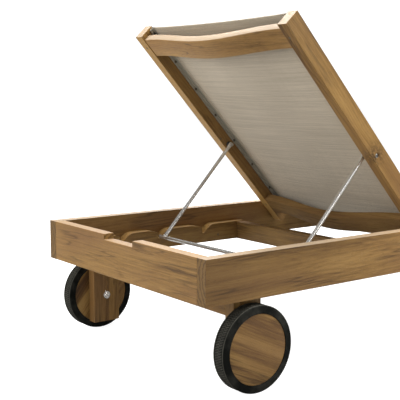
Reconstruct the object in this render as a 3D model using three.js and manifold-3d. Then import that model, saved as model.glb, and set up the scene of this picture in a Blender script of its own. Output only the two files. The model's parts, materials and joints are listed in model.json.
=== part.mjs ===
// Reclining sun lounger: teak frame, woven slings, prop hoop and two wheels.
// Millimetres. X is across, +Y points to the foot end, Z is up. The floor is Z = 0.
import * as THREE from "three";
import * as BufferGeometryUtils from "three/addons/utils/BufferGeometryUtils.js";
import Module from "manifold-3d";

const wasm = await Module();
wasm.setup();

// ---- driving dimensions -------------------------------------------------

const GAP = 0.3;                 // air between pieces that touch

// base frame
const LENGTH = 2000;
const WIDTH = 680;
const BOARD_HEIGHT = 100;
const UNDERSIDE = 205;           // height of the frame's underside over the floor
const SIDE_THICKNESS = 30;
const END_THICKNESS = 28;
const HAND_HOLD_WIDTH = 126;
const HAND_HOLD_DEPTH = 14;

// ratchet rails, inside the side rails
const RATCHET_THICKNESS = 28;
const RATCHET_HEIGHT = 52;
const RATCHET_END = 616;         // distance from the head end
const NOTCH_WALLS = [180, 304, 458];
const NOTCH_FLOOR = 28;
const SEAT_RADIUS = 5.3;         // radius of a notch's rounded floor
const CROSS_RAIL_HEIGHT = 50;

// backrest
const HINGE_FROM_HEAD = 750;
const HINGE_UP = 77.5;           // over the frame's underside
const REST_ANGLE = 46.8;         // degrees from flat, with the hoop in the middle notch
const BACK_HALF_WIDTH = 300;
const BACK_RAIL_THICKNESS = 29;
const BACK_RAIL_DEPTH = 45;
const BACK_RAIL_TOP = 712;       // from the hinge to the upper end
const BACK_RAIL_TAIL = 36;       // from the hinge to the lower end

// prop hoop
const PIVOT_ALONG = 290;         // from the hinge, along the backrest
const PIVOT_BEHIND = 8;          // behind the middle of the rail
const PROP_LENGTH = 344.1;
const ROD_RADIUS = 5;
const ROD_SIDES = 12;
const BAR_CLEARANCE = 0.7;       // between the bar's ends and the ratchet rails
const ARM_X = 260.5;
const EYE_RADIUS = 7;
const EYE_THICKNESS = 6;

// wheels and legs
const WHEEL_RADIUS = 96;
const WHEEL_THICKNESS = 36;
const DISC_RADIUS = 78;
const WHEEL_FROM_HEAD = 135;
const WHEEL_CLEARANCE = 2;       // between the side rail's inner plane and the tyre
const LEG_WIDTH = 76;
const LEG_THICKNESS = 28;
const WHEEL_LEG_FOOT = 24;       // height of the wheel leg's lower end
const TONGUE_THICKNESS = 12;
const TONGUE_HEIGHT = 36;
const FOOT_LEG_FROM_HEAD = 1876;
const FOOT_LEG_UP = 70;          // how far the foot legs reach up inside the frame
const GLIDE_HEIGHT = 5;

// slings and their rails
const SLING_RAIL_DEPTH = 13;
const SLING_RAIL_THICKNESS = 14;
const SLOT_HEIGHT = 10.2;        // middle of the slot, from the rail's rear edge
const SLOT_HALF_WIDTH = 0.9;
const CORD_RADIUS = 1.8;
const CORD_PLAY = 0.4;           // air around the cord, and between the cord and the sheet's edge
const SLING_THICKNESS = 1;
const SLING_SAG = 7;
const SLING_RAIL_INSET = 0.5;    // how far the sling rail lies below the wood
const SLING_RAIL_SHORT = 2;      // how far the sling rail stops short of the sheet's head end

// fasteners
const HINGE_BOLT_RADIUS = 5;
const LEG_BOLT_RADIUS = 4;
const PIVOT_BOLT_RADIUS = 3;
const PIVOT_HEAD_RADIUS = 5;
const AXLE_RADIUS = 5;
const HEAD_DOME = 3;             // height of a bolt's domed head
const WASHER_THICKNESS = 1.5;
const NUT_THICKNESS = 4.5;
const NUT_RATIO = 1.7;           // nut's radius over the bolt's
const HEAD_RATIO = 2;            // head's and washer's radius over the bolt's

// ---- places worked out from them -----------------------------------------

const HEAD_Y = -LENGTH / 2;
const INNER_X = WIDTH / 2 - SIDE_THICKNESS;
const RATCHET_X = INNER_X - RATCHET_THICKNESS;
const FRAME_TOP = UNDERSIDE + BOARD_HEIGHT;
const BACK_INNER_X = BACK_HALF_WIDTH - BACK_RAIL_THICKNESS;
const HINGE_Y = HEAD_Y + HINGE_FROM_HEAD;
const HINGE_Z = UNDERSIDE + HINGE_UP;
const WHEEL_Y = HEAD_Y + WHEEL_FROM_HEAD;
const WHEEL_INNER_X = INNER_X + WHEEL_CLEARANCE;
const SIDES = [["right", 1], ["left", -1]];   // as seen by someone lying on it

// ---- materials ------------------------------------------------------------

const teak = (color) => new THREE.MeshStandardMaterial({ color, roughness: 0.65, metalness: 0 });
const steel = () => new THREE.MeshStandardMaterial({ color: 0xc4c6c6, roughness: 0.25, metalness: 1 });
const aluminium = () => new THREE.MeshStandardMaterial({ color: 0xa8a79c, roughness: 0.4, metalness: 1 });
const rubber = () => new THREE.MeshStandardMaterial({ color: 0x151614, roughness: 0.75, metalness: 0 });
const nylon = () => new THREE.MeshStandardMaterial({ color: 0x2a2a28, roughness: 0.6, metalness: 0 });
const meshCloth = () => new THREE.MeshStandardMaterial({ color: 0x958c7c, roughness: 0.8, metalness: 0 });
const TEAK = 0x9c7648;
const PALE_TEAK = 0xa9824f;

// ---- solids ---------------------------------------------------------------

function toSolid(geometry) {
  const bare = geometry.index ? geometry.toNonIndexed() : geometry.clone();
  bare.deleteAttribute("normal");
  bare.deleteAttribute("uv");
  const merged = BufferGeometryUtils.mergeVertices(bare, 1e-4);
  const mesh = new wasm.Mesh({
    numProp: 3,
    vertProperties: new Float32Array(merged.attributes.position.array),
    triVerts: new Uint32Array(merged.index.array),
  });
  return new wasm.Manifold(mesh);
}

function toGeometry(solid) {
  const mesh = solid.getMesh();
  const geometry = new THREE.BufferGeometry();
  geometry.setAttribute("position", new THREE.BufferAttribute(new Float32Array(mesh.vertProperties), 3));
  geometry.setIndex(new THREE.BufferAttribute(new Uint32Array(mesh.triVerts), 1));
  geometry.computeVertexNormals();
  return geometry;
}

function cut(geometry, ...tools) {
  let solid = toSolid(geometry);
  for (const tool of tools) solid = solid.subtract(toSolid(tool));
  return toGeometry(solid);
}

function join(geometry, ...others) {
  let solid = toSolid(geometry);
  for (const other of others) solid = solid.add(toSolid(other));
  return toGeometry(solid);
}

// a box given by its lowest and highest corners
function block(low, high) {
  const size = high.map((value, i) => value - low[i]);
  const geometry = new THREE.BoxGeometry(...size);
  return geometry.translate(...high.map((value, i) => (value + low[i]) / 2));
}

// a round bar along X, from x0 to x1, centred on (y, z)
function barX(radius, x0, x1, y, z, sides = 16) {
  const geometry = new THREE.CylinderGeometry(radius, radius, Math.abs(x1 - x0), sides);
  return geometry.rotateZ(Math.PI / 2).translate((x0 + x1) / 2, y, z);
}

// a turned piece about X: profile points are [radius, x] from the axis and back to it
function turnedX(profile, y, z, sides = 16) {
  const points = profile.map(([radius, x]) => new THREE.Vector2(radius, x));
  return new THREE.LatheGeometry(points, sides).rotateZ(-Math.PI / 2).translate(0, y, z);
}

// profile of a ring with a plain bore, for turnedX
function ring(bore, radius, x0, x1) {
  return [[bore, x0], [radius, x0], [radius, x1], [bore, x1], [bore, x0]];
}

// an outline in (Y, Z) pushed along X from x0 to x1
function slabX(shape, x0, x1, curveSegments = 6) {
  const geometry = new THREE.ExtrudeGeometry(shape, { depth: x1 - x0, bevelEnabled: false, curveSegments });
  const turn = new THREE.Matrix4().set(0, 0, 1, x0, 1, 0, 0, 0, 0, 1, 0, 0, 0, 0, 0, 1);
  return geometry.applyMatrix4(turn);
}

// an outline in (X, Z) pushed along Y from y0 to y1
function slabY(shape, y0, y1, curveSegments = 6) {
  const geometry = new THREE.ExtrudeGeometry(shape, { depth: y1 - y0, bevelEnabled: false, curveSegments });
  return geometry.rotateX(Math.PI / 2).translate(0, y1, 0);
}

const lounger = new THREE.Group();

function piece(group, name, geometry, material) {
  const mesh = new THREE.Mesh(geometry, material);
  mesh.name = name;
  group.add(mesh);
}

// geometry mirrored across the middle plane, with its faces still pointing out
function onSide(geometry, sign) {
  if (sign > 0) return geometry;
  const flat = geometry.index ? geometry.toNonIndexed() : geometry;
  flat.scale(-1, 1, 1);
  const position = flat.attributes.position;
  for (let i = 0; i < position.count; i += 3) {
    const first = new THREE.Vector3().fromBufferAttribute(position, i);
    const second = new THREE.Vector3().fromBufferAttribute(position, i + 1);
    position.setXYZ(i, second.x, second.y, second.z);
    position.setXYZ(i + 1, first.x, first.y, first.z);
  }
  flat.computeVertexNormals();
  return flat;
}

// ---- base frame -----------------------------------------------------------

const LEG_BOLT_HEIGHTS = [UNDERSIDE + 22, UNDERSIDE + 54];
const FOOT_LEG_Y = HEAD_Y + FOOT_LEG_FROM_HEAD;

function sideRail() {
  const board = block([INNER_X, HEAD_Y, UNDERSIDE], [WIDTH / 2, -HEAD_Y, FRAME_TOP]);
  const hole = (radius, y, z) => barX(radius + GAP, INNER_X - 1, WIDTH / 2 + 1, y, z);
  const legHoles = LEG_BOLT_HEIGHTS.map((z) => hole(LEG_BOLT_RADIUS, FOOT_LEG_Y, z));
  return cut(board, hole(HINGE_BOLT_RADIUS, HINGE_Y, HINGE_Z), ...legHoles);
}

function headBoard() {
  const half = INNER_X - GAP;
  const hold = HAND_HOLD_WIDTH / 2;
  const shape = new THREE.Shape();
  shape.moveTo(-half, UNDERSIDE);
  shape.lineTo(half, UNDERSIDE);
  shape.lineTo(half, FRAME_TOP);
  shape.lineTo(hold, FRAME_TOP);
  shape.lineTo(hold, FRAME_TOP - HAND_HOLD_DEPTH);
  shape.lineTo(-hold, FRAME_TOP - HAND_HOLD_DEPTH);
  shape.lineTo(-hold, FRAME_TOP);
  shape.lineTo(-half, FRAME_TOP);
  shape.closePath();
  return slabY(shape, HEAD_Y, HEAD_Y + END_THICKNESS);
}

function footBoard() {
  const half = INNER_X - GAP;
  return block([-half, -HEAD_Y - END_THICKNESS, UNDERSIDE], [half, -HEAD_Y, FRAME_TOP]);
}

// saw-tooth top: a steep wall on the head side of each notch and a rounded ramp on the other
function ratchetRail() {
  const top = UNDERSIDE + RATCHET_HEIGHT;
  const floor = UNDERSIDE + NOTCH_FLOOR;
  const shape = new THREE.Shape();
  const start = HEAD_Y + END_THICKNESS + GAP;
  shape.moveTo(start, UNDERSIDE);
  shape.lineTo(HEAD_Y + RATCHET_END, UNDERSIDE);
  shape.lineTo(HEAD_Y + RATCHET_END, top);
  for (const wall of [...NOTCH_WALLS].reverse()) {
    const y = HEAD_Y + wall;
    shape.lineTo(y + 46, top);
    shape.bezierCurveTo(y + 31, top, y + 20, floor + 13.5,
      y + SEAT_RADIUS * 1.682, floor + SEAT_RADIUS * 0.269);
    shape.absarc(y + SEAT_RADIUS, floor + SEAT_RADIUS, SEAT_RADIUS, -0.82, -Math.PI, true);
    shape.lineTo(y - 1, top - 8);
    shape.bezierCurveTo(y - 8, top - 3, y - 24, top, y - 48, top);
  }
  shape.lineTo(start, top);
  shape.closePath();
  const rail = slabX(shape, RATCHET_X, INNER_X - GAP);
  const reach = LEG_WIDTH / 2 + GAP;
  const housing = block(
    [INNER_X - TONGUE_THICKNESS - GAP * 2, WHEEL_Y - reach, UNDERSIDE - 1],
    [INNER_X + 1, WHEEL_Y + reach, UNDERSIDE + TONGUE_HEIGHT + GAP]);
  return cut(rail, housing);
}

function ratchetCrossRail() {
  const half = RATCHET_X - GAP;
  const end = HEAD_Y + RATCHET_END;
  return block([-half, end - END_THICKNESS, UNDERSIDE], [half, end, UNDERSIDE + CROSS_RAIL_HEIGHT]);
}

const AXLE_BOARD_BELOW = 42;
const AXLE_BOARD_ABOVE = 16;

function axleBoard() {
  const half = RATCHET_X - GAP;
  const front = WHEEL_Y - LEG_WIDTH / 2;
  return block([-half, front, UNDERSIDE - AXLE_BOARD_BELOW],
    [half, front + END_THICKNESS, UNDERSIDE + AXLE_BOARD_ABOVE]);
}

const GROOVE = 2;                // half width and depth of the leg's middle groove

function wheelLeg() {
  const inner = INNER_X - LEG_THICKNESS;
  const outer = INNER_X - GAP;
  const half = LEG_WIDTH / 2;
  const shape = new THREE.Shape();
  shape.moveTo(outer, -half);
  shape.lineTo(outer, half);
  shape.lineTo(inner, half);
  shape.lineTo(inner, GROOVE);
  shape.lineTo(inner + GROOVE, 0);
  shape.lineTo(inner, -GROOVE);
  shape.lineTo(inner, -half);
  shape.closePath();
  const height = UNDERSIDE - GAP - WHEEL_LEG_FOOT;
  const board = new THREE.ExtrudeGeometry(shape, { depth: height, bevelEnabled: false });
  board.translate(0, WHEEL_Y, WHEEL_LEG_FOOT);
  const tongue = block([INNER_X - TONGUE_THICKNESS, WHEEL_Y - half, UNDERSIDE - 10],
    [outer, WHEEL_Y + half, UNDERSIDE + TONGUE_HEIGHT]);
  const hole = barX(AXLE_RADIUS + GAP, inner - 1, outer + 1, WHEEL_Y, WHEEL_RADIUS);
  return cut(join(board, tongue), hole);
}

function footLeg() {
  const inner = INNER_X - LEG_THICKNESS;
  const half = LEG_WIDTH / 2;
  const leg = block([inner, FOOT_LEG_Y - half, GLIDE_HEIGHT + GAP],
    [INNER_X - GAP, FOOT_LEG_Y + half, UNDERSIDE + FOOT_LEG_UP]);
  const hole = (z) => barX(LEG_BOLT_RADIUS + GAP, inner - 1, INNER_X + 1, FOOT_LEG_Y, z);
  const holes = LEG_BOLT_HEIGHTS.map(hole);
  return cut(leg, ...holes);
}

function legGlide() {
  const inset = 2;
  const half = LEG_WIDTH / 2 - inset;
  return block([INNER_X - LEG_THICKNESS + inset, FOOT_LEG_Y - half, 0],
    [INNER_X - inset, FOOT_LEG_Y + half, GLIDE_HEIGHT]);
}

// a bolt along X: domed head outside at headX, shank in to endX, washer and nut on the end
function bolt(radius, headX, endX, y, z) {
  const head = radius * HEAD_RATIO;
  const nut = radius * NUT_RATIO;
  const seat = headX + GAP;
  const washer = endX - GAP;
  const nutStart = washer - WASHER_THICKNESS;
  const nutEnd = nutStart - NUT_THICKNESS;
  return turnedX([
    [0, nutEnd],
    [nut, nutEnd],
    [nut, nutStart],
    [head, nutStart],
    [head, washer],
    [radius, washer],
    [radius, seat],
    [head, seat],
    [head, seat + HEAD_DOME * 0.1],
    [head * 0.6, seat + HEAD_DOME * 0.8],
    [0, seat + HEAD_DOME],
  ], y, z);
}

for (const [side, sign] of SIDES) {
  piece(lounger, `side_rail_${side}`, onSide(sideRail(), sign), teak(TEAK));
  piece(lounger, `ratchet_rail_${side}`, onSide(ratchetRail(), sign), teak(PALE_TEAK));
  piece(lounger, `wheel_leg_${side}`, onSide(wheelLeg(), sign), teak(TEAK));
  piece(lounger, `foot_leg_${side}`, onSide(footLeg(), sign), teak(TEAK));
  piece(lounger, `leg_glide_${side}`, onSide(legGlide(), sign), nylon());
  LEG_BOLT_HEIGHTS.forEach((z, i) => {
    const name = `leg_bolt_${side}_${i ? "upper" : "lower"}`;
    const solid = bolt(LEG_BOLT_RADIUS, WIDTH / 2, INNER_X - LEG_THICKNESS, FOOT_LEG_Y, z);
    piece(lounger, name, onSide(solid, sign), steel());
  });
}
piece(lounger, "head_board", headBoard(), teak(TEAK));
piece(lounger, "foot_board", footBoard(), teak(TEAK));
piece(lounger, "ratchet_cross_rail", ratchetCrossRail(), teak(TEAK));
piece(lounger, "axle_board", axleBoard(), teak(TEAK));

// ---- dished rails, slings and sling rails ----------------------------------

// a rail across the lounger whose middle bows down, so that the sling clears it
function dishedRail(half, thickness, bow, rear, y0, y1) {
  const steps = 20;
  const drop = (x) => bow * (1 + Math.cos(Math.PI * x / half)) / 2;
  const shape = new THREE.Shape();
  shape.moveTo(-half, rear);
  for (let i = 1; i <= steps; i++) {
    const x = -half + 2 * half * i / steps;
    shape.lineTo(x, rear - drop(x));
  }
  for (let i = steps; i >= 0; i--) {
    const x = -half + 2 * half * i / steps;
    shape.lineTo(x, rear + thickness - drop(x));
  }
  shape.closePath();
  return slabY(shape, y0, y1);
}

// channel that holds the sling's edge: x is measured in from the wood, at wallX
function slingRail(wallX, top, y0, y1) {
  const rear = top - SLING_RAIL_DEPTH;
  const outer = wallX - GAP;
  const inner = outer - SLING_RAIL_THICKNESS;
  const slotZ = rear + SLOT_HEIGHT;
  const groove = CORD_RADIUS + CORD_PLAY;
  const mouth = Math.asin(SLOT_HALF_WIDTH / groove);
  const shape = new THREE.Shape();
  shape.moveTo(outer, rear);
  shape.lineTo(outer, top);
  shape.lineTo(inner, top);
  shape.lineTo(inner, slotZ + SLOT_HALF_WIDTH);
  shape.absarc(outer - SLING_RAIL_THICKNESS / 2, slotZ, groove, Math.PI - mouth, mouth - Math.PI, true);
  shape.lineTo(inner, slotZ - SLOT_HALF_WIDTH);
  shape.lineTo(inner, rear);
  shape.closePath();
  return slabY(shape, y0, y1, 8);
}

function edgeCord(wallX, top, y0, y1) {
  const cord = new THREE.CylinderGeometry(CORD_RADIUS, CORD_RADIUS, y1 - y0, 12);
  const x = wallX - GAP - SLING_RAIL_THICKNESS / 2;
  return cord.translate(x, (y0 + y1) / 2, top - SLING_RAIL_DEPTH + SLOT_HEIGHT);
}

// the woven sheet, sagging between the two slots
function sling(wallX, top, y0, y1) {
  const half = wallX - GAP - SLING_RAIL_THICKNESS / 2 - CORD_RADIUS - CORD_PLAY;
  const edge = top - SLING_RAIL_DEPTH + SLOT_HEIGHT - SLING_THICKNESS / 2;
  const steps = 16;
  const height = (x) => edge - SLING_SAG * (1 - (x / half) ** 2);
  const shape = new THREE.Shape();
  shape.moveTo(-half, height(half));
  for (let i = 1; i <= steps; i++) {
    const x = -half + 2 * half * i / steps;
    shape.lineTo(x, height(x));
  }
  for (let i = steps; i >= 0; i--) {
    const x = -half + 2 * half * i / steps;
    shape.lineTo(x, height(x) + SLING_THICKNESS);
  }
  shape.closePath();
  return slabY(shape, y0, y1);
}

const SEAT_RAIL_WIDTH = 52;
const SEAT_RAIL_BOW = 20;
const SEAT_RAIL_THICKNESS = 22.7;
const SEAT_RAIL_REAR = HINGE_Z - BACK_RAIL_DEPTH / 2;
const SEAT_RAILS = [["head", 812], ["middle", 1352], ["foot", 1918]];
const SEAT_SLING_HEAD = HEAD_Y + 798;
const SEAT_SLING_FOOT = HEAD_Y + 1966;
const SEAT_SLING_TOP = FRAME_TOP - SLING_RAIL_INSET;

for (const [place, fromHead] of SEAT_RAILS) {
  const y = HEAD_Y + fromHead;
  const solid = dishedRail(INNER_X - GAP, SEAT_RAIL_THICKNESS, SEAT_RAIL_BOW, SEAT_RAIL_REAR,
    y, y + SEAT_RAIL_WIDTH);
  piece(lounger, `seat_rail_${place}`, solid, teak(TEAK));
}
for (const [side, sign] of SIDES) {
  const rail = slingRail(INNER_X, SEAT_SLING_TOP, SEAT_SLING_HEAD + SLING_RAIL_SHORT, SEAT_SLING_FOOT);
  piece(lounger, `seat_sling_rail_${side}`, onSide(rail, sign), aluminium());
  const cord = edgeCord(INNER_X, SEAT_SLING_TOP, SEAT_SLING_HEAD, SEAT_SLING_FOOT);
  piece(lounger, `seat_edge_cord_${side}`, onSide(cord, sign), nylon());
}
piece(lounger, "seat_sling", sling(INNER_X, SEAT_SLING_TOP, SEAT_SLING_HEAD, SEAT_SLING_FOOT), meshCloth());

// ---- wheels ----------------------------------------------------------------

const BUSH_RADIUS = 8;
const BUSH_DEPTH = 28;
const AXLE_HEAD_RADIUS = 10;
const AXLE_HEAD_HEIGHT = 6;
const AXLE_WASHER_RADIUS = 13;
const DISC_INSET = 1;            // how far the disc's faces lie below the tyre's
const DISC_CHAMFER = 1;

function wheelDisc() {
  const inner = WHEEL_INNER_X + DISC_INSET;
  const outer = WHEEL_INNER_X + WHEEL_THICKNESS - DISC_INSET;
  const bottom = inner + BUSH_DEPTH + GAP;
  return turnedX([
    [0, bottom],
    [BUSH_RADIUS + GAP, bottom],
    [BUSH_RADIUS + GAP, inner],
    [DISC_RADIUS - DISC_CHAMFER, inner],
    [DISC_RADIUS, inner + DISC_CHAMFER],
    [DISC_RADIUS, outer - DISC_CHAMFER],
    [DISC_RADIUS - DISC_CHAMFER, outer],
    [0, outer],
  ], WHEEL_Y, WHEEL_RADIUS, 56);
}

function tyre() {
  const inner = WHEEL_INNER_X;
  const outer = WHEEL_INNER_X + WHEEL_THICKNESS;
  const round = 5;
  return turnedX([
    [DISC_RADIUS + GAP, inner],
    [WHEEL_RADIUS - round, inner],
    [WHEEL_RADIUS - round * 0.3, inner + round * 0.3],
    [WHEEL_RADIUS, inner + round],
    [WHEEL_RADIUS, outer - round],
    [WHEEL_RADIUS - round * 0.3, outer - round * 0.3],
    [WHEEL_RADIUS - round, outer],
    [DISC_RADIUS + GAP, outer],
    [DISC_RADIUS + GAP, inner],
  ], WHEEL_Y, WHEEL_RADIUS, 56);
}

function wheelBush() {
  const inner = WHEEL_INNER_X + DISC_INSET;
  return turnedX(ring(AXLE_RADIUS + GAP, BUSH_RADIUS, inner, inner + BUSH_DEPTH), WHEEL_Y, WHEEL_RADIUS);
}

function axleBolt() {
  const leg = INNER_X - LEG_THICKNESS;
  const end = WHEEL_INNER_X + BUSH_DEPTH;
  return turnedX([
    [0, leg - AXLE_HEAD_HEIGHT],
    [AXLE_HEAD_RADIUS * 0.7, leg - AXLE_HEAD_HEIGHT * 0.8],
    [AXLE_HEAD_RADIUS, leg - AXLE_HEAD_HEIGHT * 0.2],
    [AXLE_HEAD_RADIUS, leg - GAP],
    [AXLE_RADIUS, leg - GAP],
    [AXLE_RADIUS, end],
    [0, end],
  ], WHEEL_Y, WHEEL_RADIUS);
}

function axleWasher() {
  const x0 = INNER_X;
  const x1 = WHEEL_INNER_X + DISC_INSET - GAP;
  return turnedX(ring(AXLE_RADIUS + GAP, AXLE_WASHER_RADIUS, x0, x1), WHEEL_Y, WHEEL_RADIUS);
}

for (const [side, sign] of SIDES) {
  piece(lounger, `wheel_disc_${side}`, onSide(wheelDisc(), sign), teak(TEAK));
  piece(lounger, `tyre_${side}`, onSide(tyre(), sign), rubber());
  piece(lounger, `wheel_bush_${side}`, onSide(wheelBush(), sign), nylon());
  piece(lounger, `axle_bolt_${side}`, onSide(axleBolt(), sign), steel());
  piece(lounger, `axle_washer_${side}`, onSide(axleWasher(), sign), steel());
}

// ---- backrest, drawn flat with its hinge at the group's origin ---------------

const backrest = new THREE.Group();
backrest.position.set(0, HINGE_Y, HINGE_Z);
backrest.rotation.x = -THREE.MathUtils.degToRad(REST_ANGLE);
lounger.add(backrest);

const BACK_FRONT = BACK_RAIL_DEPTH / 2;
const BACK_REAR = -BACK_RAIL_DEPTH / 2;
const COUNTERBORE = 4;
const COUNTERBORE_PLAY = 0.6;    // around the pivot bolt's head
const POCKET_PLAY = 1;           // around the hinge bolt's nut
const HINGE_NUT_POCKET = 8;      // the hinge bolt's nut sits below the rail's inner face
const BACK_SLING_TOP = -709;
const BACK_SLING_TAIL = 8;
const REAR_ROUND = 10;           // of the rail's lower end
const FRONT_ROUND = 18;
const TOP_RAIL = { from: -699, to: -642, bow: 22, inset: 1.5, thickness: 21.8 };
const BOTTOM_RAIL = { from: -67, to: -10, bow: 27, inset: 0, thickness: 22.7 };

function backRail() {
  const shape = new THREE.Shape();
  shape.moveTo(-BACK_RAIL_TOP, BACK_REAR);
  shape.lineTo(BACK_RAIL_TAIL - REAR_ROUND, BACK_REAR);
  shape.quadraticCurveTo(BACK_RAIL_TAIL, BACK_REAR, BACK_RAIL_TAIL, BACK_REAR + REAR_ROUND);
  shape.lineTo(BACK_RAIL_TAIL, BACK_FRONT - FRONT_ROUND);
  shape.quadraticCurveTo(BACK_RAIL_TAIL, BACK_FRONT, BACK_RAIL_TAIL - FRONT_ROUND, BACK_FRONT);
  shape.lineTo(-BACK_RAIL_TOP, BACK_FRONT);
  shape.closePath();
  const rail = slabX(shape, BACK_INNER_X, BACK_HALF_WIDTH);
  const hingeHole = barX(HINGE_BOLT_RADIUS + GAP, BACK_INNER_X - 1, BACK_HALF_WIDTH + 1, 0, 0);
  const pivotHole = barX(PIVOT_BOLT_RADIUS + GAP, BACK_INNER_X - 1, BACK_HALF_WIDTH + 1,
    -PIVOT_ALONG, -PIVOT_BEHIND);
  const counterbore = barX(PIVOT_HEAD_RADIUS + COUNTERBORE_PLAY, BACK_HALF_WIDTH - COUNTERBORE,
    BACK_HALF_WIDTH + 1, -PIVOT_ALONG, -PIVOT_BEHIND);
  const nutPocket = barX(HINGE_BOLT_RADIUS * HEAD_RATIO + POCKET_PLAY, BACK_INNER_X - 1,
    BACK_INNER_X + HINGE_NUT_POCKET, 0, 0);
  return cut(rail, hingeHole, pivotHole, counterbore, nutPocket);
}

const EYE_OUTER_X = ARM_X + EYE_THICKNESS / 2;
const EYE_INNER_X = ARM_X - EYE_THICKNESS / 2;

const PIVOT_SPACER_RADIUS = 8;
const HINGE_SPACER_RADIUS = 12;

// low-headed bolt that carries the hoop: head in the counterbore, nut on the hoop's eye
function pivotBolt() {
  const radius = PIVOT_BOLT_RADIUS;
  const seat = BACK_HALF_WIDTH - COUNTERBORE + GAP;
  const nutStart = EYE_INNER_X - GAP;
  return turnedX([
    [0, nutStart - NUT_THICKNESS],
    [radius * NUT_RATIO, nutStart - NUT_THICKNESS],
    [radius * NUT_RATIO, nutStart],
    [radius, nutStart],
    [radius, seat],
    [PIVOT_HEAD_RADIUS, seat],
    [PIVOT_HEAD_RADIUS, seat + HEAD_DOME * 0.7],
    [PIVOT_HEAD_RADIUS * 0.7, seat + HEAD_DOME],
    [0, seat + HEAD_DOME],
  ], -PIVOT_ALONG, -PIVOT_BEHIND);
}

function pivotSpacer() {
  const radius = PIVOT_BOLT_RADIUS + GAP;
  const x0 = EYE_OUTER_X + GAP;
  const x1 = BACK_INNER_X - GAP;
  return turnedX(ring(radius, PIVOT_SPACER_RADIUS, x0, x1), -PIVOT_ALONG, -PIVOT_BEHIND);
}

function hingeSpacer() {
  const radius = HINGE_BOLT_RADIUS + GAP;
  const x0 = BACK_HALF_WIDTH + GAP;
  const x1 = INNER_X - GAP;
  return turnedX(ring(radius, HINGE_SPACER_RADIUS, x0, x1), HINGE_Y, HINGE_Z);
}

for (const [side, sign] of SIDES) {
  piece(backrest, `back_rail_${side}`, onSide(backRail(), sign), teak(TEAK));
  const rail = slingRail(BACK_INNER_X, BACK_FRONT - SLING_RAIL_INSET,
    BACK_SLING_TOP + SLING_RAIL_SHORT, BACK_SLING_TAIL);
  piece(backrest, `back_sling_rail_${side}`, onSide(rail, sign), aluminium());
  const cord = edgeCord(BACK_INNER_X, BACK_FRONT - SLING_RAIL_INSET, BACK_SLING_TOP, BACK_SLING_TAIL);
  piece(backrest, `back_edge_cord_${side}`, onSide(cord, sign), nylon());
  piece(backrest, `prop_pivot_bolt_${side}`, onSide(pivotBolt(), sign), steel());
  piece(backrest, `prop_pivot_spacer_${side}`, onSide(pivotSpacer(), sign), nylon());
  const hingeBolt = bolt(HINGE_BOLT_RADIUS, WIDTH / 2, BACK_INNER_X + HINGE_NUT_POCKET, HINGE_Y, HINGE_Z);
  piece(lounger, `hinge_bolt_${side}`, onSide(hingeBolt, sign), steel());
  piece(lounger, `hinge_spacer_${side}`, onSide(hingeSpacer(), sign), nylon());
}

function backCrossRail({ from, to, bow, inset, thickness }) {
  return dishedRail(BACK_INNER_X - GAP, thickness, bow, BACK_REAR + inset, from, to);
}

piece(backrest, "back_top_rail", backCrossRail(TOP_RAIL), teak(PALE_TEAK));
piece(backrest, "back_bottom_rail", backCrossRail(BOTTOM_RAIL), teak(TEAK));
piece(backrest, "back_sling",
  sling(BACK_INNER_X, BACK_FRONT - SLING_RAIL_INSET, BACK_SLING_TOP, BACK_SLING_TAIL), meshCloth());

// ---- prop hoop: drawn hanging straight towards the head end from its pivot -----

const tilt = THREE.MathUtils.degToRad(REST_ANGLE);
const pivotY = HINGE_Y - PIVOT_ALONG * Math.cos(tilt) - PIVOT_BEHIND * Math.sin(tilt);
const pivotZ = HINGE_Z + PIVOT_ALONG * Math.sin(tilt) - PIVOT_BEHIND * Math.cos(tilt);
const barZ = UNDERSIDE + NOTCH_FLOOR + SEAT_RADIUS;
const propTilt = Math.asin((pivotZ - barZ) / PROP_LENGTH);

const prop = new THREE.Group();
prop.position.set(0, pivotY, pivotZ);
prop.rotation.x = propTilt;
lounger.add(prop);

function propArm() {
  const eye = barX(EYE_RADIUS, EYE_INNER_X, EYE_OUTER_X, 0, 0);
  const length = PROP_LENGTH - ROD_RADIUS - GAP;
  const rod = new THREE.CylinderGeometry(ROD_RADIUS, ROD_RADIUS, length, ROD_SIDES);
  rod.translate(ARM_X, -length / 2, 0);
  const hole = barX(PIVOT_BOLT_RADIUS + GAP, EYE_INNER_X - ROD_RADIUS, EYE_OUTER_X + ROD_RADIUS, 0, 0);
  // the rod's end is flattened to the eye's thickness over two eye radii
  const flattened = (x0, x1) => block([x0, -EYE_RADIUS * 2, -EYE_RADIUS], [x1, EYE_RADIUS, EYE_RADIUS]);
  const flatOuter = flattened(EYE_OUTER_X, EYE_OUTER_X + ROD_RADIUS);
  const flatInner = flattened(EYE_INNER_X - ROD_RADIUS, EYE_INNER_X);
  return cut(join(eye, rod), hole, flatOuter, flatInner);
}

for (const [side, sign] of SIDES) {
  piece(prop, `prop_arm_${side}`, onSide(propArm(), sign), steel());
}
const BAR_HALF = RATCHET_X - BAR_CLEARANCE;
piece(prop, "prop_bar", barX(ROD_RADIUS, -BAR_HALF, BAR_HALF, -PROP_LENGTH, 0, ROD_SIDES), steel());

export default lounger;
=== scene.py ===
import json
import math
import random

import bmesh
import bpy
from mathutils import Matrix, Vector


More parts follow.
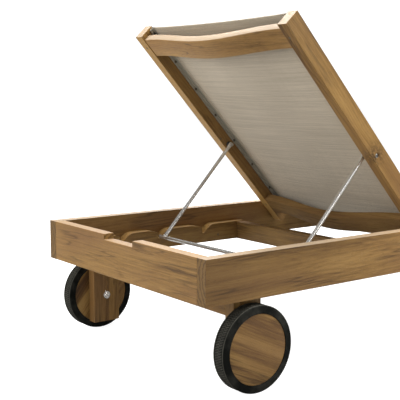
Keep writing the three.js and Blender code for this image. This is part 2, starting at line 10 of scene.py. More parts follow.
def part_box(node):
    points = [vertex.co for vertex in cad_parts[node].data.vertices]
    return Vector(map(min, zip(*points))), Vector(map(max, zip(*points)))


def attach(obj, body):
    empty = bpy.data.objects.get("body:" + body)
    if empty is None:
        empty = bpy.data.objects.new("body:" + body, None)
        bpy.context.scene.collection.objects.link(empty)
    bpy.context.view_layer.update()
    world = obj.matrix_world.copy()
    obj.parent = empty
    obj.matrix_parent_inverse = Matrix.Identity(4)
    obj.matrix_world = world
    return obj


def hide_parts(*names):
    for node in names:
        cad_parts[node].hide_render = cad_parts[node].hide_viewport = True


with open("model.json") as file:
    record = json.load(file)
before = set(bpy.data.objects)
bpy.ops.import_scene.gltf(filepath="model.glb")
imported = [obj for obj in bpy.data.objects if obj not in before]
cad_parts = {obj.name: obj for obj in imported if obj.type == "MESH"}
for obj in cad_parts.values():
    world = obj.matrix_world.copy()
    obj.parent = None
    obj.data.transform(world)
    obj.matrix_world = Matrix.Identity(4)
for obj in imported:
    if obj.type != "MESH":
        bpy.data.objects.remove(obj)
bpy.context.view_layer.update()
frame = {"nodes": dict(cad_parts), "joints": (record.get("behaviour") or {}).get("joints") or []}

NODES = frame["nodes"]
JOINTS = {joint["name"]: joint for joint in frame["joints"]}
SIDES = (("right", 1), ("left", -1))

# ---- places worked out from the frame --------------------------------------------------

HINGE = Vector(JOINTS["backrest_tilt"]["pos_m"])
PIVOT = Vector(JOINTS["prop_swing"]["pos_m"])
WHEEL = Vector(JOINTS["wheel_right_spin"]["pos_m"])
TYRE_RADIUS = (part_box("tyre_right")[1].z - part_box("tyre_right")[0].z) / 2
DISC_RADIUS = (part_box("wheel_disc_right")[1].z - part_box("wheel_disc_right")[0].z) / 2
TILT = math.radians(-JOINTS["backrest_tilt"]["range_deg"][0])   # the backrest's rise from flat
BASE = Matrix.Identity(4)
# the backrest's own frame: +Y runs down the rails to the tail, +Z comes out of the sling's front
BACK = Matrix.Translation(HINGE) @ Matrix.Rotation(-TILT, 4, "X")


def box_in(node, place):
    """Lowest and highest corners of a CAD node in the frame called place."""
    turn = place.inverted()
    points = [turn @ v.co for v in NODES[node].data.vertices]
    low = Vector(min(p[i] for p in points) for i in range(3))
    high = Vector(max(p[i] for p in points) for i in range(3))
    return low, high


def srgb(red, green, blue):
    """A colour given as 0 to 255 in sRGB, in the linear values that shaders take."""
    def linear(value):
        value /= 255
        return value / 12.92 if value <= 0.04045 else ((value + 0.055) / 1.055) ** 2.4
    return linear(red), linear(green), linear(blue), 1.0


# ---- node trees ------------------------------------------------------------------------

class Tree:
    """A few short calls for building a node tree."""

    GIVE_A_NUMBER = ("DOT_PRODUCT", "DISTANCE", "LENGTH")

    def __init__(self, tree):
        self.tree = tree

    def put(self, socket, value):
        if isinstance(value, bpy.types.NodeSocket):
            self.tree.links.new(value, socket)
        else:
            socket.default_value = value

    def node(self, kind, inputs=None, **settings):
        made = self.tree.nodes.new(kind)
        for name, value in settings.items():
            setattr(made, name, value)
        for name, value in (inputs or {}).items():
            self.put(made.inputs[name], value)
        return made

    def math(self, operation, a, b=0.0, c=0.0):
        return self.node("ShaderNodeMath", {0: a, 1: b, 2: c}, operation=operation).outputs[0]

    def vector(self, operation, a, b=(0, 0, 0)):
        made = self.node("ShaderNodeVectorMath", {0: a, 1: b}, operation=operation)
        return made.outputs["Value" if operation in self.GIVE_A_NUMBER else "Vector"]

    def stretch(self, vector, scale, move=(0, 0, 0)):
        made = self.node("ShaderNodeMapping", {"Vector": vector, "Scale": scale, "Location": move})
        return made.outputs[0]

    def noise(self, vector, scale=1.0, detail=2.0, rough=0.5):
        """Noise of about 0 to 1 whose middle is 0.5."""
        made = self.node("ShaderNodeTexNoise", {
            "Vector": vector, "Scale": scale, "Detail": detail, "Roughness": rough})
        return made.outputs["Fac"]

    def ramp(self, value, stops, smooth=False):
        made = self.node("ShaderNodeValToRGB", {"Fac": value})
        made.color_ramp.interpolation = "EASE" if smooth else "LINEAR"
        elements = made.color_ramp.elements
        while len(elements) < len(stops):
            elements.new(0.5)
        for element, (place, colour) in zip(elements, stops):
            element.position = place
            element.color = colour if hasattr(colour, "__len__") else (colour, colour, colour, 1)
        return made.outputs["Color"]

    def mix(self, share, a, b, kind="MIX"):
        made = self.node("ShaderNodeMix", data_type="RGBA", blend_type=kind)
        self.put(made.inputs[0], share)
        self.put(made.inputs[6], a)
        self.put(made.inputs[7], b)
        return made.outputs[2]

    def bump(self, height, distance, strength):
        made = self.node("ShaderNodeBump", {"Height": height, "Distance": distance, "Strength": strength})
        return made.outputs["Normal"]


def new_material(name):
    """A material with its Principled shader and a Tree to build on."""
    material = bpy.data.materials.new(name)
    material.use_nodes = True
    shader = material.node_tree.nodes["Principled BSDF"]
    return material, shader, Tree(material.node_tree)


# ---- teak ------------------------------------------------------------------------------

RING_SPACING = 0.0046            # between growth rings
END_RING = 0.0120                # between the rings that show on end grain
STREAKS = 0.74                   # how strong the narrow streaks are
BANDS = 0.46                     # how strong the broad ones are
GRAIN_RELIEF = 0.00025           # height of the bumps in the grain
WOOD_SHINE = 0.25
LIGHT_WOOD = srgb(172, 135, 78)
MID_WOOD = srgb(143, 108, 58)
DARK_WOOD = srgb(101, 72, 37)
DEEP_WOOD = srgb(74, 51, 27)
ROSY_WOOD = srgb(131, 95, 57)
STREAK_WOOD = srgb(60, 42, 23)
# painted onto faces turned to the light, as painted light
PAINTED_LIGHT_WOOD = srgb(170, 152, 130)
END_LIGHT = srgb(160, 122, 66)
END_DARK = srgb(64, 46, 25)


def teak_group():
    """The grain of teak: Vector is a point in metres whose X runs along the grain, End is 1 on end grain."""
    group = bpy.data.node_groups.new("teak_grain", "ShaderNodeTree")
    for name, kind in (("Vector", "Vector"), ("Pith", "Vector"), ("Tone", "Float"), ("End", "Float"),
                       ("Streaks", "Float"), ("Bands", "Float")):
        group.interface.new_socket(name, in_out="INPUT", socket_type=f"NodeSocket{kind}")
    for name, kind in (("Color", "Color"), ("Height", "Float")):
        group.interface.new_socket(name, in_out="OUTPUT", socket_type=f"NodeSocket{kind}")
    t = Tree(group)
    given = t.node("NodeGroupInput").outputs
    out = t.node("NodeGroupOutput").inputs
    point = given["Vector"]

    # growth rings about a pith that wanders along the board, plainer in some places than in others
    wander = t.noise(t.stretch(point, (2.4, 7, 7)), detail=2)
    ripple = t.noise(t.stretch(point, (9, 60, 60)), detail=3, rough=0.6)
    radius = t.vector("LENGTH", t.stretch(t.vector("SUBTRACT", point, given["Pith"]), (0.02, 1, 1)))
    radius = t.math("MULTIPLY_ADD", wander, 0.055, radius)
    radius = t.math("MULTIPLY_ADD", ripple, 0.0036, radius)
    phase = t.math("FRACT", t.math("DIVIDE", radius, RING_SPACING))
    late = t.ramp(phase, ((0.0, 0.55), (0.12, 0.1), (0.5, 0.22), (0.86, 0.9), (1.0, 0.6)))
    uneven = t.noise(t.stretch(point, (2, 32, 32), (5, 5, 1)), detail=3, rough=0.6)
    uneven = t.math("MULTIPLY_ADD", uneven, 0.03, radius)
    end_phase = t.math("FRACT", t.math("DIVIDE", uneven, END_RING))
    end_late = t.ramp(end_phase, ((0.0, 0.9), (0.2, 0.05), (0.55, 0.1), (0.85, 0.75), (1.0, 0.9)))
    plain = t.noise(t.stretch(point, (3, 22, 22), (4, 4, 4)), detail=2)
    plain = t.ramp(plain, ((0.36, 0.15), (0.64, 1.0)))

    # long streaks, fibres, flecks, pores and patches, and dark veins along the edges of some bands
    streak = t.noise(t.stretch(point, (3.2, 170, 170)), detail=5, rough=0.76)
    broad = t.noise(t.stretch(point, (1.8, 44, 44), (2, 8, 5)), detail=3, rough=0.55)
    fibre = t.noise(t.stretch(point, (14, 1500, 1500)), detail=2)
    fleck = t.noise(t.stretch(point, (26, 380, 380), (1, 9, 3)), detail=4, rough=0.72)
    pores = t.noise(t.stretch(point, (75, 2600, 2600)), detail=0)
    pores = t.ramp(pores, ((0.63, 0.0), (0.74, 1.0)))
    patch = t.noise(t.stretch(point, (3.4, 12, 12), (3, 1, 7)), detail=2)
    blush = t.noise(t.stretch(point, (2.1, 9, 9), (6, 2, 2)), detail=2)
    contour = t.noise(t.stretch(point, (1.7, 30, 30), (7, 3, 1)), detail=3, rough=0.5)
    contour = t.math("ABSOLUTE", t.math("SUBTRACT", contour, 0.5))
    vein = t.ramp(contour, ((0.0, 1.0), (0.020, 0.0)))
    vein = t.math("MULTIPLY", vein, t.ramp(patch, ((0.42, 0.0), (0.58, 1.0))))

    tone = t.math("MULTIPLY_ADD", t.math("MULTIPLY", late, plain), 0.18, 0.55)
    for noise, strength in ((streak, given["Streaks"]), (broad, given["Bands"]), (fleck, 0.45)):
        tone = t.math("MULTIPLY_ADD", t.math("SUBTRACT", noise, 0.5), strength, tone)
    for noise, strength in ((fibre, 0.12), (patch, 0.46)):
        tone = t.math("MULTIPLY_ADD", noise, strength, tone)
    tone = t.math("MULTIPLY", tone, 0.5)      # a ramp ends at 1
    colour = t.ramp(tone, ((0.30, LIGHT_WOOD), (0.45, MID_WOOD), (0.57, DARK_WOOD), (0.70, DEEP_WOOD)))
    rosy = t.ramp(blush, ((0.46, 0.0), (0.66, 0.65)))
    colour = t.mix(rosy, colour, ROSY_WOOD)
    for mark, strength in ((vein, 0.62), (pores, 0.35)):
        colour = t.mix(t.math("MULTIPLY", mark, strength), colour, STREAK_WOOD)
    end = t.mix(t.math("MULTIPLY_ADD", streak, 0.3, t.math("MULTIPLY", end_late, 0.62)), END_LIGHT, END_DARK)
    colour = t.mix(given["End"], colour, end)
    colour = t.node("ShaderNodeHueSaturation", {"Color": colour, "Value": given["Tone"]}).outputs[0]
    t.put(out["Color"], colour)
    height = t.math("SUBTRACT", t.math("MULTIPLY", fibre, 0.5), t.math("MULTIPLY", pores, 0.6))
    t.put(out["Height"], t.math("MULTIPLY_ADD", late, 0.5, height))
    return group


TEAK = teak_group()
draw = random.Random(11)         # says where in its log each board lies


def knotted(t, place, point, spot, radius):
    """The grain's point swirled round a knot at spot, and how dark the knot's cracks are there."""
    away = t.math("DIVIDE", t.vector("DISTANCE", place, spot), radius)
    near = t.ramp(away, ((0.0, 1.0), (1.0, 0.0)), smooth=True)
    swirl = t.node("ShaderNodeTexNoise", {"Vector": place, "Scale": 110.0, "Detail": 2.0})
    swirl = t.vector("SUBTRACT", swirl.outputs["Color"], (0.5, 0.5, 0.5))
    push = t.node("ShaderNodeVectorMath", {0: swirl, 3: t.math("MULTIPLY", near, 0.03)}, operation="SCALE")
    cracks = t.math("ABSOLUTE", t.math("SUBTRACT", t.noise(place, 75.0, 2.0), 0.5))
    cracks = t.ramp(cracks, ((0.0, 1.0), (0.16, 0.0)))
    shade = t.math("MULTIPLY", near, t.math("MULTIPLY", cracks, 0.95))
    return t.vector("ADD", point, push.outputs[0]), shade


def teak(name, grain, about, tone=1.0, pith=None, rough=0.5, knot=None, streaks=STREAKS, bands=BANDS,
         pale=(), dark=None):
    """Teak whose grain runs along the direction grain, on a board centred on about.

    Both are in the piece's own coordinates, as is pith, the way from about to the middle of the log.
    knot is (place, radius). pale holds faces painted lighter, a painted highlight for the light falling on
    them: (direction, share, colour). dark is (place, radius, share) of wood made darker towards place, fading
    out at that radius."""
    material, shader, t = new_material(name)
    turn = Vector(grain).rotation_difference(Vector((1, 0, 0)))
    start = Vector((draw.uniform(0, 9), 0, 0))
    depth = draw.uniform(0.04, 0.09)
    angle = draw.uniform(0, 2 * math.pi)
    log = turn @ Vector(pith) if pith else Vector((0, depth * math.cos(angle), depth * math.sin(angle)))
    middle = turn @ Vector(about) + log + start
    texture = t.node("ShaderNodeTexCoord").outputs
    place = texture["Object"]
    turned = t.node("ShaderNodeMapping", {"Vector": place, "Rotation": turn.to_euler(), "Location": start})
    point = turned.outputs[0]
    if knot:
        point, shade = knotted(t, place, point, *knot)
    facing = t.vector("DOT_PRODUCT", texture["Normal"], Vector(grain).normalized())
    end = t.ramp(t.math("ABSOLUTE", facing), ((0.80, 0.0), (0.92, 1.0)))
    grainy = t.node("ShaderNodeGroup", node_tree=TEAK)
    for socket, value in (("Vector", point), ("Pith", middle), ("Tone", tone), ("End", end),
                          ("Streaks", streaks), ("Bands", bands)):
        t.put(grainy.inputs[socket], value)
    colour = grainy.outputs["Color"]
    if dark:
        dark_middle, reach, share = dark
        away = t.math("DIVIDE", t.vector("DISTANCE", place, dark_middle), reach)
        colour = t.mix(t.ramp(away, ((0.0, share), (1.0, 0.0))), colour, STREAK_WOOD)
    # painted light: faces turned towards direction are painted lighter
    for direction, share, light in pale:
        bare = t.ramp(t.vector("DOT_PRODUCT", texture["Normal"], direction), ((0.80, 0.0), (0.95, share)))
        colour = t.mix(bare, colour, light)
    if knot:
        colour = t.mix(shade, colour, STREAK_WOOD)
    t.put(shader.inputs["Base Color"], colour)
    worn = t.math("MULTIPLY_ADD", grainy.outputs["Height"], -0.12, rough)
    t.put(shader.inputs["Roughness"], worn)
    shader.inputs["Specular IOR Level"].default_value = WOOD_SHINE
    t.put(shader.inputs["Normal"], t.bump(grainy.outputs["Height"], GRAIN_RELIEF, 0.6))
    return material


def centre_of(node, place=BASE):
    """Middle of a CAD node in the frame called place."""
    low, high = box_in(node, place)
    return (low + high) / 2


# ---- other materials -------------------------------------------------------------------

BRUSH_RELIEF = 0.00002           # height of the lines in brushed metal
MOULD_RELIEF = 0.00006           # height of the grain of rubber and plastic
DUST_AND_SHEEN_EDGE = 0.0008               # from a tyre's clean rubber to its pale tread, which is dust and a painted sheen
YARN = 0.0014                    # pitch of the sling's yarns
YARN_RELIEF = 0.0003
# painted shade in the open weave's holes, where one sees through to the dark underneath
YARN_GAP_SHADE = srgb(60, 42, 23)
PAINTED_BACKLIGHT_FRONT = 0.36                  # brightness of a sling's front over its back: the back is painted paler, a painted glow for light that comes through the weave


def brushed(name, colour, along, rough, metal=1.0):
    """Metal with fine lines along the direction along."""
    material, shader, t = new_material(name)
    turn = Vector(along).rotation_difference(Vector((1, 0, 0))).to_euler()
    place = t.node("ShaderNodeTexCoord").outputs["Object"]
    turned = t.node("ShaderNodeMapping", {"Vector": place, "Rotation": turn}).outputs[0]
    lines = t.noise(t.stretch(turned, (9, 900, 900)), detail=3)
    cloud = t.noise(turned, 35.0, 3.0)
    dull = tuple(0.8 * value for value in colour[:3]) + (1.0,)
    t.put(shader.inputs["Base Color"], t.mix(cloud, colour, dull))
    t.put(shader.inputs["Roughness"], t.math("MULTIPLY_ADD", lines, 0.16, rough - 0.08))
    t.put(shader.inputs["Normal"], t.bump(lines, BRUSH_RELIEF, 0.5))
    shader.inputs["Metallic"].default_value = metal
    return material


def moulded(name, colour, worn, rough, scale=420.0, shine=0.5, dust_and_sheen=None):
    """Rubber or plastic: a fine moulded grain and paler wear.

    For a tyre, the last argument is the radius about the wheels' axis past which it is all pale: dust on the
    tread, and a painted sheen."""
    material, shader, t = new_material(name)
    place = t.node("ShaderNodeTexCoord").outputs["Object"]
    grain = t.noise(place, scale, 3.0)
    wear = t.ramp(t.noise(place, 24.0, 5.0, 0.62), ((0.42, 0.0), (0.72, 1.0)))
    # the tread past this radius is painted pale: dust, and a painted sheen
    if dust_and_sheen:
        reach = t.vector("LENGTH", t.stretch(t.vector("SUBTRACT", place, WHEEL), (0, 1, 1)))
        dust_and_sheen_mask = t.math("MULTIPLY", t.math("SUBTRACT", reach, dust_and_sheen), 1 / DUST_AND_SHEEN_EDGE)
        dust_and_sheen_mask = t.math("MULTIPLY", t.ramp(dust_and_sheen_mask, ((0.0, 0.0), (1.0, 1.0))), t.noise(place, 90.0, 3.0))
        wear = t.math("MAXIMUM", t.math("MULTIPLY", wear, 0.3), dust_and_sheen_mask)
    t.put(shader.inputs["Base Color"], t.mix(wear, colour, worn))
    t.put(shader.inputs["Roughness"], t.math("MULTIPLY_ADD", wear, 0.12, rough))
    t.put(shader.inputs["Normal"], t.bump(grain, MOULD_RELIEF, 0.6))
    shader.inputs["Specular IOR Level"].default_value = shine
    return material


def woven(name, light, dark):
    """Open plain weave of coated yarn, laid on the piece's own X and Y, with its front to +Z. Its back is
    painted paler, as painted light that comes through the weave.
    """
    material, shader, t = new_material(name)
    texture = t.node("ShaderNodeTexCoord").outputs
    place = texture["Object"]
    # painted light: the front is made darker than the back, whose paler colour is a painted glow for light
    # coming through
    front = t.node("ShaderNodeSeparateXYZ", {0: texture["Normal"]}).outputs[2]
    front = t.ramp(front, ((0.2, 1.0), (0.6, PAINTED_BACKLIGHT_FRONT)))
    parts = t.node("ShaderNodeSeparateXYZ", {0: place}).outputs
    across = t.math("SINE", t.math("MULTIPLY", parts[0], 2 * math.pi / YARN))
    along = t.math("SINE", t.math("MULTIPLY", parts[1], 2 * math.pi / YARN))
    over = t.math("MULTIPLY", across, along)
    yarn = t.math("MAXIMUM", t.math("ABSOLUTE", across), t.math("ABSOLUTE", along))
    gap = t.ramp(yarn, ((0.25, 0.0), (0.75, 1.0)))
    weft = t.noise(t.stretch(place, (4, 230, 1)), detail=2)
    warp = t.noise(t.stretch(place, (330, 3, 1)), detail=2)
    cloud = t.noise(place, 4.0, 3.0)
    tone = t.math("MULTIPLY_ADD", weft, 0.7, t.math("MULTIPLY", warp, 0.25))
    tone = t.math("MULTIPLY_ADD", cloud, 0.35, tone)
    colour = t.ramp(tone, ((0.48, light), (0.82, dark)))
    # the holes between the yarns are painted dark, as painted shade
    colour = t.mix(t.math("MULTIPLY", gap, 0.75), YARN_GAP_SHADE, colour)
    t.put(shader.inputs["Base Color"], t.mix(1.0, colour, front, "MULTIPLY"))
    t.put(shader.inputs["Normal"], t.bump(t.math("MULTIPLY_ADD", over, 0.5, gap), YARN_RELIEF, 0.5))
    shader.inputs["Roughness"].default_value = 0.62
    shader.inputs["Sheen Weight"].default_value = 0.15
    return material


STEEL = brushed("stainless_steel", srgb(236, 233, 227), (1, 0, 0), 0.24, metal=0.85)
DULL_STEEL = brushed("pivot_bolt_steel", srgb(178, 174, 166), (1, 0, 0), 0.36)
DARK_STEEL = brushed("screw_steel", srgb(104, 101, 92), (1, 0, 0), 0.38)
ALUMINIUM = brushed("anodised_aluminium", srgb(176, 172, 158), (0, 1, 0), 0.5, metal=0.7)
RUBBER = moulded("black_rubber", srgb(12, 13, 10), srgb(86, 84, 76), 0.6, shine=0.07,
                 dust_and_sheen=TYRE_RADIUS - 0.0013)
NYLON = moulded("black_nylon", srgb(32, 32, 30), srgb(46, 45, 42), 0.45, 700.0)
SLING = woven("sling_mesh", srgb(232, 219, 195), srgb(200, 188, 165))
HEM = woven("sling_hem", srgb(222, 210, 186), srgb(194, 182, 159))
THREAD = moulded("thread", srgb(120, 110, 92), srgb(140, 130, 110), 0.6, 900.0)

# ---- mesh tools ------------------------------------------------------------------------

def made_piece(name, mesh, material, body, place=BASE, replaces=()):
    """Finishes a new piece: its material, place and body, and the CAD nodes it stands for, which it hides."""
    mesh.materials.clear()
    mesh.materials.append(material)
    piece = bpy.data.objects.new(name, mesh)
    bpy.context.scene.collection.objects.link(piece)
    piece.matrix_world = place
    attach(piece, body)
    if replaces:
        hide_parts(*replaces)
    return piece


def finished(work, name, angle=35):
    """A mesh from a bmesh, smooth except across edges sharper than angle."""
    bmesh.ops.recalc_face_normals(work, faces=work.faces)
    mesh = bpy.data.meshes.new(name)
    work.to_mesh(mesh)
    work.free()
    mesh.shade_smooth()
    mesh.set_sharp_from_angle(angle=math.radians(angle))
    return mesh


def loft(work, rings, closed=False):
    """Adds a skin over rings of points. It closes on itself, or ends in caps."""
    rows = [[work.verts.new(point) for point in ring] for ring in rings]
    count = len(rows[0])
    pairs = list(zip(rows, rows[1:]))
    if closed:
        pairs.append((rows[-1], rows[0]))
    for row, following in pairs:
        for i in range(count):
            j = (i + 1) % count
            work.faces.new((row[i], row[j], following[j], following[i]))
    if not closed:
        work.faces.new(reversed(rows[0]))
        work.faces.new(rows[-1])


def revolve(work, profile, centre, segments, shape=None):
    """Adds a solid turned about X. profile is (radius, x) from the axis back to it, or a closed ring.

    shape(angle, radius, x) may change a point's radius, as for the ribs of a tread."""
    solid = profile[0][0] == 0
    rows = []
    for radius, x in profile:
        if radius == 0:
            rows.append([work.verts.new((x, centre[1], centre[2]))])
            continue
        row = []
        for step in range(segments):
            angle = 2 * math.pi * step / segments
            reach = shape(angle, radius, x) if shape else radius
            row.append(work.verts.new((x, centre[1] + reach * math.cos(angle),
                                       centre[2] + reach * math.sin(angle))))
        rows.append(row)
    pairs = list(zip(rows, rows[1:]))
    if not solid:
        pairs.append((rows[-1], rows[0]))
    for row, following in pairs:
        for i in range(segments):
            j = (i + 1) % segments
            corners = [row[i % len(row)], row[j % len(row)],
                       following[j % len(following)], following[i % len(following)]]
            work.faces.new(list(dict.fromkeys(corners)))


def rounded_box(low, high, radius):
    """Points of a rounded rectangle from low to high, anticlockwise."""
    steps = 3
    points = []
    corners = ((high[0], high[1], 0), (low[0], high[1], 1), (low[0], low[1], 2), (high[0], low[1], 3))
    for x, y, quarter in corners:
        cx = x - math.copysign(radius, x - (low[0] + high[0]) / 2)
        cy = y - math.copysign(radius, y - (low[1] + high[1]) / 2)
        for step in range(steps + 1):
            angle = math.pi / 2 * (quarter + step / steps)
            points.append((cx + radius * math.cos(angle), cy + radius * math.sin(angle)))
    return points


# ---- boards that keep their CAD shape --------------------------------------------------

ARRIS = 0.0011                   # rounding of the boards' edges
SAME_POINT = 0.00002             # corners closer than this are one
FLAT_ANGLE = math.radians(1)     # faces that meet at less than this are one
EDGE_ANGLE = math.radians(32)    # edges sharper than this are rounded
GLIDE_EDGE = 0.001


def soften(node, material, width=ARRIS, segments=3):
    """Gives a CAD node its finish, with its edges rounded as by sanding."""
    board = NODES[node]
    faceted = board.data.attributes.get("custom_normal")
    if faceted:
        board.data.attributes.remove(faceted)
    board.data.shade_smooth()
    board.modifiers.new("weld", "WELD").merge_threshold = SAME_POINT
    flat = board.modifiers.new("flat", "DECIMATE")
    flat.decimate_type = "DISSOLVE"
    flat.angle_limit = FLAT_ANGLE
    edge = board.modifiers.new("edge", "BEVEL")
    edge.width = width
    edge.segments = segments
    edge.limit_method = "ANGLE"
    edge.angle_limit = EDGE_ANGLE
    board.modifiers.new("shade", "WEIGHTED_NORMAL").weight = 100
    board.data.materials.clear()
    board.data.materials.append(material)


def soften_board(node, grain, tone=1.0, pith=None, **looks):
    """Softens a CAD board and gives it teak of its own."""
    soften(node, teak(f"teak_{node}", grain, centre_of(node), tone, pith, **looks))


# directions on the backrest's rails as they stand at rest
UP = (0, 0, 1)
DOWN_RAILS = (BACK.to_3x3() @ Vector((0, 1, 0)))[:]
UP_RAILS = (BACK.to_3x3() @ Vector((0, -1, 0)))[:]
BEHIND_RAILS = (BACK.to_3x3() @ Vector((0, 0, -1)))[:]
KNOT = ((BACK @ Vector((0.3, -0.296, -0.012)))[:], 0.044)      # beside the right pivot bolt
HEAD_END_DARK_REACH = 0.62               # how far the side rails' darkening towards their head ends reaches
HEAD_END_DARK_SHARE = 0.48
RAIL_LOOKS = {                   # of the backrest's two side rails; pale paints their faces turned up the rails lighter, and the left rail's rear face too, as painted light
    "right": {"tone": 0.92, "knot": KNOT, "pale": [(UP_RAILS, 0.8, PAINTED_LIGHT_WOOD)]},
    "left": {"tone": 0.85, "pale": [(UP_RAILS, 0.8, PAINTED_LIGHT_WOOD), (BEHIND_RAILS, 0.75, LIGHT_WOOD)]}}

# pale: the head board's top face is painted lighter, a painted highlight for the light from above
soften_board("head_board", (1, 0, 0.012), 0.97, (0, 0.06, -0.05), pale=[(UP, 0.35, PAINTED_LIGHT_WOOD)])
soften_board("foot_board", (1, 0, 0))
soften_board("ratchet_cross_rail", (1, 0, 0), 0.68)
soften_board("axle_board", (1, 0, 0), 0.92)
for side, sign in SIDES:
    # dark: the side rails are made darker towards their head ends
    dark_middle = (sign * 0.34, -1.05, 0.27)
    # pale: the side rails' top faces are painted lighter, a painted highlight for the light from above
    soften_board(f"side_rail_{side}", (0, 1, 0.03), 0.97, (sign * 0.07, 0, 0.035), bands=0.6,
                 dark=(dark_middle, HEAD_END_DARK_REACH, HEAD_END_DARK_SHARE), pale=[(UP, 0.6, PAINTED_LIGHT_WOOD)])
    soften_board(f"ratchet_rail_{side}", (0, 1, 0.01), 0.78)
    soften_board(f"wheel_leg_{side}", (0, 0, 1), 0.8, bands=0.9)
    soften_board(f"foot_leg_{side}", (0, 0, 1), 0.97)
    soften(f"leg_glide_{side}", NYLON, GLIDE_EDGE)
    soften_board(f"back_rail_{side}", DOWN_RAILS, bands=0.6, **RAIL_LOOKS[side])

# ---- dished rails ----------------------------------------------------------------------

DISH_STEPS = 72
DISH_ROUND = 0.0022
END_WIDTH = 0.94                 # how far a rail's ends are drawn in, across it and through it
END_DEPTH = 0.88
TOP_RAIL_BOW = 0.022
BOTTOM_RAIL_BOW = 0.027
SEAT_RAIL_BOW = 0.020


def dished_rail(node, body, place, bow, material):
    """A cross rail whose middle bows down by bow, with rounded edges."""
    low, high = box_in(node, place)
    rear = low.z + bow
    section = rounded_box((low.y, rear), (high.y, high.z), DISH_ROUND)
    middle_y, middle_z = (low.y + high.y) / 2, (rear + high.z) / 2
    rings = []
    for step in range(DISH_STEPS + 1):
        x = low.x + (high.x - low.x) * step / DISH_STEPS
        drop = bow * (1 + math.cos(math.pi * x / high.x)) / 2
        rings.append([(x, y, z - drop) for y, z in section])
    # the ends are drawn in a little, so that the end edges are rounded too
    for end, inset in ((0, DISH_ROUND), (-1, -DISH_ROUND)):
        whole = rings[end]
        rings[end] = [(x, middle_y + (y - middle_y) * END_WIDTH, middle_z + (z - middle_z) * END_DEPTH)
                      for x, y, z in whole]
        moved = [(x + inset / 2, y, z) for x, y, z in whole]
        rings.insert(1 if end == 0 else len(rings) - 1, moved)
    work = bmesh.new()
    loft(work, rings)
    made_piece(f"{node}_shaped", finished(work, node), material, body, place, (node,))


# pale paints the top rail's upper face lighter, as painted light; dark makes it darker round a spot
dished_rail("back_top_rail", "backrest", BACK, TOP_RAIL_BOW,
            teak("teak_back_top_rail", (1, 0, 0), centre_of("back_top_rail", BACK), 1.18, (0, 0.03, -0.05),
                 streaks=0.4, pale=[((0, -1, 0), 0.8, PAINTED_LIGHT_WOOD)], dark=((0.15, -0.67, 0), 0.24, 0.42)))
dished_rail("back_bottom_rail", "backrest", BACK, BOTTOM_RAIL_BOW,
            teak("teak_back_bottom_rail", (1, 0, 0), centre_of("back_bottom_rail", BACK), 0.6, rough=0.9))
for spot in ("head", "middle", "foot"):
    node = f"seat_rail_{spot}"
    dished_rail(node, "base", BASE, SEAT_RAIL_BOW, teak(f"teak_{node}", (1, 0, 0), centre_of(node), 0.97))

# ---- wheels ----------------------------------------------------------------------------

RIBS = 104
RIB_DEPTH = 0.0018
RIB_SLANT = 500                  # how far a rib's wave turns along the axle, in radians a metre
TYRE_SEGMENTS = 832
TYRE_PLAY = 0.0003               # between the tyre and its disc
BEAD = 0.082                     # radius of the flat ring at the tyre's bore
SIDE_DISH = 0.0006               # how far the tyre's side is sunk past that ring
SHOULDER = 0.0042
GROOVE_DEPTH = 0.0022
TREAD_START = 0.0072             # from the tyre's side to its ribs
TREAD_SUNK = 0.0001
TREAD_SHARP = 50                 # edges of the tyre sharper than this, in degrees, stay sharp
DISC_SEGMENTS = 128
DISC_ROUND = 0.0012
DISC_RING = 0.04                 # radius of the ring of corners on the outer face
DISC_BORE = 0.0083
DISC_BORE_DEPTH = 0.0283
BORE_EDGE = 0.0006
DISC_LEANS = (-0.42, 0.9)        # of the grain of the right and left discs, in radians


def tyre(side):
    """Solid rubber tyre: two smooth shoulders, two grooves and a slantwise ribbed tread between."""
    low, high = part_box(f"tyre_{side}")
    top = TYRE_RADIUS
    tread = top - TREAD_SUNK
    half = [
        (DISC_RADIUS + TYRE_PLAY, 0.0), (BEAD, 0.0), (BEAD + 0.002, SIDE_DISH),
        (top - SHOULDER, SIDE_DISH), (top - 0.0016, 0.0012), (top - 0.0004, 0.0022),
        (top, 0.0034), (top, 0.0046), (top - 0.0006, 0.0053),
        (top - GROOVE_DEPTH, 0.0058), (top - GROOVE_DEPTH, 0.0068), (top - 0.0006, 0.0073),
        (tread, 0.0080), (tread, 0.0110), (tread, 0.0150)]
    profile = [(radius, low.x + x) for radius, x in half]
    profile += [(radius, high.x - x) for radius, x in reversed(half)]
    middle = (low.x + high.x) / 2
    reach = (high.x - low.x) / 2 - TREAD_START

    def ribbed(angle, radius, x):
        if radius < tread - 0.0008 or abs(x - middle) > reach:
            return radius
        wave = 0.5 + 0.5 * math.cos(RIBS * angle + (x - middle) * RIB_SLANT)
        return radius - RIB_DEPTH * wave ** 2

    work = bmesh.new()
    revolve(work, profile, WHEEL, TYRE_SEGMENTS, ribbed)
    made_piece(f"tyre_{side}_ribbed", finished(work, "tyre", TREAD_SHARP), RUBBER, f"wheel_{side}",
               BASE, (f"tyre_{side}",))


